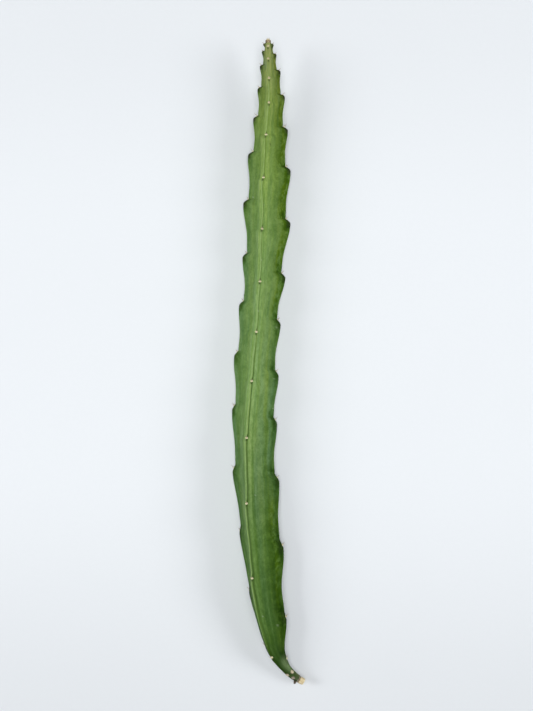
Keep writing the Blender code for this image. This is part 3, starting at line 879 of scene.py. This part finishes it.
def felt_pad(felt, place, across, lengthwise, out, sizes, draw, tint=FELT_TINT):
    """A low uneven pad of wool, with short hairs standing out of it."""
    width, length, height = sizes
    rings = []
    for spread, lift in FELT_PROFILE:
        ring = []
        for x, y in circle(FELT_SIDES):
            spot = (place + across * (width * spread * x) + lengthwise * (length * spread * y)
                    + out * (height * lift))
            rough = 0.16 * noise.noise(spot * 2.1) + 0.07 * noise.noise(spot * 5.3)
            spot = spot + (spot - place).normalized() * rough
            spot.z = max(spot.z, CUSHION_FLOOR)
            ring.append(spot)
        rings.append(ring)
    felt.rings(rings, draw.uniform(*tint), end=place + out * height)
    for i in range(FELT_HAIRS):
        turn, spread = draw.uniform(0, math.tau), math.sqrt(draw.random())
        root = (place + across * (width * spread * math.cos(turn))
                + lengthwise * (length * spread * math.sin(turn))
                + out * (height * 0.8 * math.sqrt(1 - 0.85 * spread ** 2)))
        aim = (out * 1.2 + across * (spread * math.cos(turn) + draw.uniform(-0.5, 0.5))
               + lengthwise * (spread * math.sin(turn) + draw.uniform(-0.2, 0.8))).normalized()
        long = draw.uniform(*FELT_HAIR)
        if root.z + aim.z * long < CUSHION_FLOOR:
            continue
        felt.needle(root - aim * 0.15, aim, long, FELT_HAIR_RADIUS, draw.random(), *FELT_MESH)


def clear_of_floor(place, aim, length):
    """The aim, lifted where a spine's point would touch the floor."""
    if place.z + aim.z * length < SPINE_FLOOR:
        aim.z = (SPINE_FLOOR - place.z) / length
        aim.normalize()
    return aim


def make_areoles():
    draw = random.Random(SEED)
    extra = random.Random(SEED + 5)
    felt, spines = Bundle(), Bundle()
    for name, (_, notches) in RIBS.items():
        for notch in notches:
            place, across, lengthwise, out, forward = areole_place(name, notch)
            size = areole_size(notch)
            young = name == "top" and notch > YOUNG_WOOL_FROM
            pad = YOUNG_CUSHION if young else [FELT_SHARE * size * side for side in CUSHION]
            felt_pad(felt, place, across, lengthwise, out, pad, extra, YOUNG_TINT if young else FELT_TINT)
            for i in range(SPINES):
                sway = draw.uniform(0.15, 0.5) * (1 if i % 2 else -1)
                if name != "top":
                    sway = abs(sway) * (1 if across.z > 0 else -1) * (0.3 if i else 1.0)
                aim = (out + 0.35 * draw.uniform(0.4, 1.6) * forward + sway * across).normalized()
                length = size * draw.uniform(*SPINE_LENGTH)
                aim = clear_of_floor(place, aim, length)
                spines.needle(place - aim * SPINE_ROOT * 0.5, aim, length + SPINE_ROOT * 0.5,
                              SPINE_RADIUS, extra.random(), *SPINE_MESH)
            for i in range(EXTRA_SPINES):
                aim = out + extra.uniform(0.1, 0.9) * forward + extra.uniform(-0.8, 0.8) * across
                aim.normalize()
                length = size * extra.uniform(*EXTRA_SPINE_LENGTH)
                aim = clear_of_floor(place, aim, length)
                bend = Vector([extra.uniform(-0.1, 0.1) for k in range(3)])
                bend.z = abs(bend.z)
                spines.needle(place - aim * 0.3, aim, length, EXTRA_SPINE_RADIUS, extra.random(),
                              *THIN_MESH, bend)
    make_tip(spines, felt, draw, extra)
    felt.make("areole_felt", felt_material())
    spines.make("spines", spine_material())


def make_tip(spines, felt, draw, extra):
    """The young bristles and the wool on and round the growing point."""
    centre, forward, right, up = LINE.frame(FLESH_END)

    def outward(turn):
        return math.cos(turn) * right + math.sin(turn) * up

    for i in range(TIP_BRISTLES):
        out = outward(math.tau * (i + draw.uniform(-0.2, 0.2)) / TIP_BRISTLES)
        aim = (forward + draw.uniform(0.15, 0.5) * out).normalized()
        length = draw.uniform(*TIP_BRISTLE_LENGTH) + SPINE_ROOT
        spines.needle(centre + out * 0.75 - aim * SPINE_ROOT, aim, length, BRISTLE_RADIUS, 0.95, *SPINE_MESH)
    felt_pad(felt, centre + forward * 0.2, right, up, forward, BUD_PAD, extra)
    for i in range(BUD_HAIRS):
        out, spread = outward(extra.uniform(0, math.tau)), math.sqrt(extra.random())
        aim = (forward + extra.uniform(-0.1, 0.4) * out).normalized()
        root = centre + out * (BUD_PAD[0] * spread) - aim * 0.3
        length = extra.uniform(*BUD_HAIR) * (1 - 0.5 * spread)
        felt.needle(root, aim, length, 0.07, extra.uniform(0.5, 1.0), *WOOL_MESH)
    for i in range(BUD_HAIRS):
        out = outward(extra.uniform(0, math.tau))
        aim = (forward + extra.uniform(0.2, 0.7) * out).normalized()
        root = centre + out * 1.45 - forward * extra.uniform(0.0, 1.6)
        felt.needle(root, aim, extra.uniform(*COLLAR_HAIR), 0.05, extra.uniform(0.3, 0.9), *WOOL_MESH)


# A scale leaf as (place along it, half width and thickness), all as shares.
LEAF_PROFILE = [(0.0, 0.75, 0.28), (0.25, 1.0, 0.3), (0.55, 0.72, 0.2), (0.82, 0.34, 0.12)]
LEAF_SIDES = 8


def scale_leaf(scales, root, aim, across, length, half, tint):
    """A small pointed leaf, thick at its foot and cupped towards the stem."""
    out = aim.cross(across).normalized()
    rings = []
    for t, wide, thick in LEAF_PROFILE:
        rings.append([root + aim * (length * t) + across * (half * wide * x)
                      + out * (half * (thick * z - 0.25 * x * x * wide)) for x, z in circle(LEAF_SIDES)])
    scales.rings(rings, tint, start=root - aim * 0.1, end=root + aim * length)


def make_scale_leaves():
    """Small brown leaves below the areoles near the tip and round the growing point."""
    centre, forward, right, up = LINE.frame(FLESH_END)
    scales = Bundle()
    for name, (_, notches) in RIBS.items():
        for k, notch in enumerate(notches[:LEAFY_TEETH]):
            place, across, _, out, ahead = areole_place(name, notch)
            size = 1.15 - 0.09 * k
            root = place - ahead * 0.7 * size - out * 0.3
            scale_leaf(scales, root, (out * 0.75 + ahead).normalized(), across, 1.7 * size, 0.85 * size,
                       0.25 + 0.1 * k)
    for aside, lift, length in BUD_LEAVES:
        foot = centre + right * aside + up * lift - forward * 1.9
        scale_leaf(scales, foot, (forward + 0.08 * aside * right).normalized(), right, length, 0.5, 0.1)
    scales.make("scale_leaves", scale_material())


def felt_material():
    s = Shading("areole_wool")
    place = s.place_in_mm()
    clumps = s.noise(place, 1.6, 4.0, 0.6)
    strands = s.noise(place, 7.0, 4.0, 0.7)
    tone = s.mix(s.remap(clumps, 0.35, 0.65), (0.56, 0.49, 0.27), (0.84, 0.79, 0.52))
    tone = s.cover(tone, (0.90, 0.87, 0.66), strands, 0.45, 0.75, 0.0, 0.5)
    tone = s.cover(tone, (0.46, 0.40, 0.17), s.attribute("tint"), 0.0, 0.5, 0.8, 0.0)
    s.bump(strands, 0.08, 0.8)
    return s.finish(tone, 0.92, Sheen_Weight=0.3, Sheen_Roughness=0.6)


def spine_material():
    s = Shading("spine_horn")
    place = s.place_in_mm()
    grain = s.noise(place, 4.0, 3.0, 0.6)
    tone = s.ramp(s.attribute("height"), [(0.0, (0.36, 0.28, 0.17)), (0.35, (0.47, 0.39, 0.27)),
                                          (1.0, (0.25, 0.19, 0.13))])
    tone = s.cover(tone, (0.62, 0.50, 0.32), s.attribute("tint"), 0.2, 1.0, 0.0, 0.4)
    tone = s.cover(tone, (0.30, 0.22, 0.14), grain, 0.45, 0.7, 0.0, 0.4)
    s.bump(grain, 0.03, 0.5)
    return s.finish(tone, s.remap(grain, 0.3, 0.7, 0.38, 0.55))


def scale_material():
    s = Shading("scale_leaf")
    place = s.place_in_mm()
    grain = s.noise(place, 2.5, 4.0, 0.6)
    tone = s.mix(s.remap(grain, 0.35, 0.7), (0.034, 0.022, 0.010), (0.11, 0.070, 0.034))
    tone = s.cover(tone, (0.035, 0.050, 0.015), s.attribute("tint"), 0.2, 0.9, 0.0, 0.6)
    s.bump(grain, 0.05, 0.6)
    return s.finish(tone, s.remap(grain, 0.3, 0.7, 0.45, 0.6))


# The corky scars near the cut, with a rough swollen rim round a dished middle.
SCAR_SIDES = 26
SCAR_HEIGHT = 0.62
SCAR_PROFILE = [(1.25, -0.5), (1.15, 0.0), (1.0, 0.45), (0.82, 0.8), (0.6, 0.82), (0.36, 0.6), (0.15, 0.5)]


def make_scars():
    scars = Bundle()
    for turned, station, size, paleness in SCARS:
        centre, forward, right, up = LINE.frame(station)
        outward = rib_direction(math.radians(turned))
        nearest = min(section(station), key=lambda spot: (spot[0].normalized() - outward).length)
        out = right * outward.x + up * outward.y
        side = out.cross(forward)
        place = centre + out * (nearest[0].length - 0.25)
        rings = []
        for spread, lift in SCAR_PROFILE:
            ring = []
            for x, y in circle(SCAR_SIDES):
                wide = size * spread * (1 + 0.22 * noise.noise(Vector((2 * x, 2 * y, station))))
                spot = place + side * (wide * x) + forward * (wide * 1.15 * y) + out * (SCAR_HEIGHT * lift)
                spot = spot + out * (0.22 * noise.noise(spot * 1.9) + 0.1 * noise.noise(spot * 4.7))
                ring.append(spot)
            rings.append(ring)
        scars.rings(rings, paleness, end=place + out * 0.3)
    scars.make("corky_scars", cork_material())


def cork_material():
    s = Shading("cork")
    place = s.place_in_mm()
    grain = s.noise(place, 1.4, 5.0, 0.65)
    cracks = s.cells(place, 1.7)
    tone = s.mix(s.remap(grain, 0.35, 0.65), (0.22, 0.17, 0.14), (0.42, 0.38, 0.31))
    tone = s.cover(tone, (0.80, 0.72, 0.48), s.attribute("tint"), 0.3, 0.9, 0.0, 0.75)
    tone = s.cover(tone, (0.22, 0.135, 0.105), s.attribute("height"), 0.15, 0.38, 0.75, 0.0)
    tone = s.cover(tone, (0.10, 0.07, 0.05), cracks, 0.42, 0.6, 0.0, 0.5)
    s.bump(s.math("ADD", grain, cracks), 0.18, 0.8)
    return s.finish(tone, 0.88)


# The exposed woody core, as (station, share of its radius) from the flesh to the cut face and in.
WOOD_LENGTH = 4.0
WOOD_RADIUS = 2.35
WOOD_SIDES = 72
WOOD_LOBES = 14
WOOD_PROFILE = [
    (4.0, 0.96), (3.6, 0.985), (3.2, 1.0), (2.6, 1.015), (2.0, 1.03), (1.5, 1.04), (1.0, 1.03), (0.6, 1.01),
    (0.25, 0.96), (0.05, 0.88), (0.0, 0.78), (0.04, 0.68), (0.12, 0.58), (0.28, 0.46), (0.5, 0.34),
    (0.7, 0.22), (0.75, 0.1),
]


def make_wood():
    draw = random.Random(SEED + 1)
    lobes = [draw.uniform(0.92, 1.06) for i in range(WOOD_LOBES)]
    rings, spin, radial, depth = [], [], [], []
    for station, spread in WOOD_PROFILE:
        centre, forward, right, up = LINE.frame(station)
        ring = []
        for i, (x, y) in enumerate(circle(WOOD_SIDES)):
            low, share = divmod(WOOD_LOBES * i / WOOD_SIDES, 1)
            low = int(low)
            lobe = lobes[low] * (1 - share) + lobes[(low + 1) % WOOD_LOBES] * share
            fibre = noise.noise(Vector((2.6 * x, 2.6 * y, station * 0.12))) * 0.10
            fibre += noise.noise(Vector((7 * x, 7 * y, station * 0.25))) * 0.06
            radius = WOOD_RADIUS * spread * (lobe + fibre * smooth(spread, 0.1, 0.7))
            frayed = 0.28 * noise.noise(Vector((5 * x * spread, 5 * y * spread, 9)))
            ring.append(centre + radius * (x * right + y * up)
                        - forward * (frayed * (1 - smooth(station, 0.3, 1.2))))
            spin.append((x, y, station))
            radial.append(spread)
            depth.append(station / WOOD_LENGTH)
        rings.append(ring)
    wood = Bundle()
    wood.rings(rings, 0.5, start=LINE.at(WOOD_LENGTH + 0.05), end=LINE.at(WOOD_PROFILE[-1][0]))
    item = new_piece("wood_core", wood.points, wood.faces, wood_material(), "woody_end")
    store(item, "spin", spin + [(0, 0, WOOD_LENGTH), (0, 0, 0)], "FLOAT_VECTOR")
    store(item, "radial", radial + [0.0, 0.0])
    store(item, "depth", depth + [1.0, 0.1])


def wood_material():
    s = Shading("dry_wood")
    spin = s.attribute("spin", "Vector")
    fibres = s.noise(spin, (5.5, 5.5, 0.35), 4.0, 0.65)
    blotches = s.noise(spin, (1.6, 1.6, 0.6))
    rings = s.noise(spin, (2.2, 2.2, 2.2), 5.0, 0.7)
    tone = s.mix(s.remap(fibres, 0.36, 0.62), (0.42, 0.30, 0.15), (0.78, 0.70, 0.46))
    tone = s.cover(tone, (0.62, 0.50, 0.28), blotches, 0.4, 0.7, 0.0, 0.5)
    face = s.remap(s.attribute("depth"), 0.14, 0.02)
    tone = s.mix(face, tone, s.mix(s.remap(rings, 0.35, 0.65), (0.60, 0.48, 0.27), (0.86, 0.80, 0.58)))
    tone = s.cover(tone, (0.30, 0.21, 0.11), s.attribute("radial"), 0.34, 0.05, 0.0, 0.85)
    tone = s.cover(tone, (0.12, 0.09, 0.05), s.attribute("depth"), 0.75, 1.0, 0.0, 0.8)
    s.bump(s.math("ADD", fibres, s.math("MULTIPLY", rings, 0.5)), 0.16, 0.8)
    return s.finish(tone, 0.85)


# The dry flap of skin that hangs at the left of the collar, as (out, along, up) from the centre line.
# Each place has its half width.
FLAP = [((-2.3, 0.3, -0.6), 0.9), ((-3.1, -0.1, -0.5), 1.05), ((-3.9, -0.4, -0.9), 0.8),
        ((-4.5, -0.5, -1.3), 0.45)]
FLAP_TIP = (-4.75, -0.5, -1.4)
FLAP_STATION = 5.4
FLAP_SIDES = 12


def make_flap():
    centre, forward, right, up = LINE.frame(FLAP_STATION)
    rings = []
    for (x, y, z), half in FLAP:
        middle = centre + right * x + forward * y + up * z
        ring = []
        for i, (x, y) in enumerate(circle(FLAP_SIDES)):
            crinkle = 0.15 * noise.noise(middle * 3 + forward * i)
            ring.append(middle + forward * (half * x + crinkle) + up * (0.16 * y + 0.35 * x ** 2)
                        + right * (0.12 * math.sin(3 * math.tau * i / FLAP_SIDES)))
        rings.append(ring)
    x, y, z = FLAP_TIP
    flap = Bundle()
    flap.rings(rings, 0.1, end=centre + right * x + forward * y + up * z)
    flap.make("dry_flap", scale_material())


# The floor, the lights and the camera. A light is (name, the way it comes from, angle that it
# spreads over, strength, colour).
FLOOR_SIZE = 40000.0
FLOOR_GAP = 0.05
FLOOR_TONE = (0.80, 0.832, 0.865)
FLOOR_PAINTED_DIMMING = [(-60.0, -280.0, 0.87), (90.0, 250.0, 0.94)]  # painted fall-off of the light: where it dims along Y, and to what share
CAMERA_PLACE = (-0.94, 5.37, 1500.0)
CAMERA_LENS = 107.8
LIGHTS = [
    ("overhead", (0.0, 0.0, 1.0), 38, 1.54, (1.0, 1.0, 1.0)),
    ("left window", (-1.0, 0.1, 0.60), 28, 1.40, (1.0, 1.0, 1.0)),
    ("right window", (1.0, 0.0, 0.62), 28, 1.22, (1.0, 1.0, 1.0)),
]
SKY = (0.96, 0.98, 1.0)
SKY_STRENGTH = (0.85, 0.18)  # at the horizon and from a quarter of the way up
SKY_RISE = 0.22


def floor_material():
    s = Shading("pale_floor")
    place = s.place_in_mm()
    soft = s.noise(place, 0.006, 2.0)
    fine = s.noise(place, 0.35, 3.0, 0.6)
    tone = s.mix(s.remap(soft, 0.3, 0.7, 0.0, 0.5), FLOOR_TONE, tuple(0.985 * c for c in FLOOR_TONE))
    tone = s.mix(s.remap(fine, 0.3, 0.7, 0.0, 0.3), tone, tuple(0.975 * c for c in FLOOR_TONE))
    y = s.node("ShaderNodeSeparateXYZ", {0: place}, "Y")
    # Painted dimming of the light towards both ends of the floor.
    for start, end, dim in FLOOR_PAINTED_DIMMING:
        tone = s.cover(tone, (dim, dim, dim), y, start, end, blend="MULTIPLY")
    return s.finish(tone, 0.85, Specular_IOR_Level=0.1)


def make_floor():
    half = FLOOR_SIZE / 2
    mesh = bpy.data.meshes.new("floor")
    corners = [(-half, -half), (half, -half), (half, half), (-half, half)]
    mesh.from_pydata([(x * MM, y * MM, -FLOOR_GAP * MM) for x, y in corners], [], [(0, 1, 2, 3)])
    mesh.materials.append(floor_material())
    floor = new_object("floor", mesh)


def make_lights():
    for name, source, spread, strength, colour in LIGHTS:
        light = bpy.data.lights.new(name, "SUN")
        light.angle, light.energy, light.color = math.radians(spread), strength, colour
        lamp = new_object(name, light)
        lamp.rotation_euler = Vector(source).to_track_quat("Z", "Y").to_euler()
    world = bpy.data.worlds.new("soft sky")
    world.use_nodes = True
    sky = Nodes(world.node_tree)
    background = sky.tree.nodes["Background"]
    height = sky.node("ShaderNodeSeparateXYZ", {0: sky.node("ShaderNodeTexCoord", {}, "Generated")}, "Z")
    sky.feed(SKY, background.inputs["Color"])
    sky.feed(sky.remap(height, 0.0, SKY_RISE, *SKY_STRENGTH), background.inputs["Strength"])
    bpy.context.scene.world = world
    bpy.context.scene.view_settings.view_transform = "Standard"


def make_camera():
    data = bpy.data.cameras.new("camera")
    data.lens = CAMERA_LENS
    data.clip_end = 100.0
    camera = new_object("camera", data)
    camera.location = Vector(CAMERA_PLACE) * MM
    bpy.context.scene.camera = camera


make_skin()
make_scale_leaves()
make_areoles()
make_scars()
make_wood()
make_flap()
make_floor()
make_lights()
make_camera()
